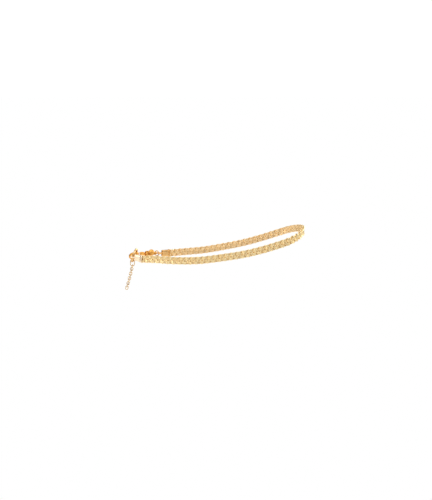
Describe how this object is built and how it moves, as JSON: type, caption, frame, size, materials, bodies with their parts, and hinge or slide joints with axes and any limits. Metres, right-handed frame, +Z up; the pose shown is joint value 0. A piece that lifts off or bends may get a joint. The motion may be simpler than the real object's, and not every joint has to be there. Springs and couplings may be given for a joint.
{
  "type": "chain anklet",
  "caption": "Gold-tone plaited chain anklet with end caps, a lobster clasp, an end ring and a short extender chain, shaped as worn.",
  "frame": {"origin": "middle of the opening that the ankle goes through, at the height of the band's middle there", "axes": "+X away from the clasp towards the far turn of the loop, -Y towards the near strand, +Z up along the ankle"},
  "size_m": [0.1078, 0.0452, 0.0389],
  "materials": {
    "band_gold": "polished yellow gold plating on a fine plait",
    "cap_gold": "mirror polished gold plating",
    "clasp_gold": "polished orange gold plating",
    "lever_gold": "polished orange gold plating",
    "ring_gold": "polished gold plating on drawn wire",
    "extender_gold": "polished gold plating on fine wire"
  },
  "bodies": {
    "anklet": {"band": "band_gold", "front_cap": "cap_gold", "back_cap": "cap_gold", "end_ring": "ring_gold", "clasp_body": "clasp_gold", "clasp_ring": "ring_gold", "extender_link_00": "extender_gold", "extender_link_01": "extender_gold", "extender_link_02": "extender_gold", "extender_link_03": "extender_gold", "extender_link_04": "extender_gold", "extender_link_05": "extender_gold", "extender_link_06": "extender_gold", "extender_link_07": "extender_gold", "extender_link_08": "extender_gold", "extender_link_09": "extender_gold", "extender_link_10": "extender_gold"},
    "lever": {"clasp_lever": "lever_gold"}
  },
  "joints": [
    {"name": "lever_hinge", "type": "hinge", "parent": "anklet", "child": "lever", "pos_m": [-0.04317, 0.00464, -0.00124], "axis": [-0.1929, 0.5144, 0.8356], "range_deg": [-20, 0], "stiffness_Nm_per_rad": 0.002}
  ]
}
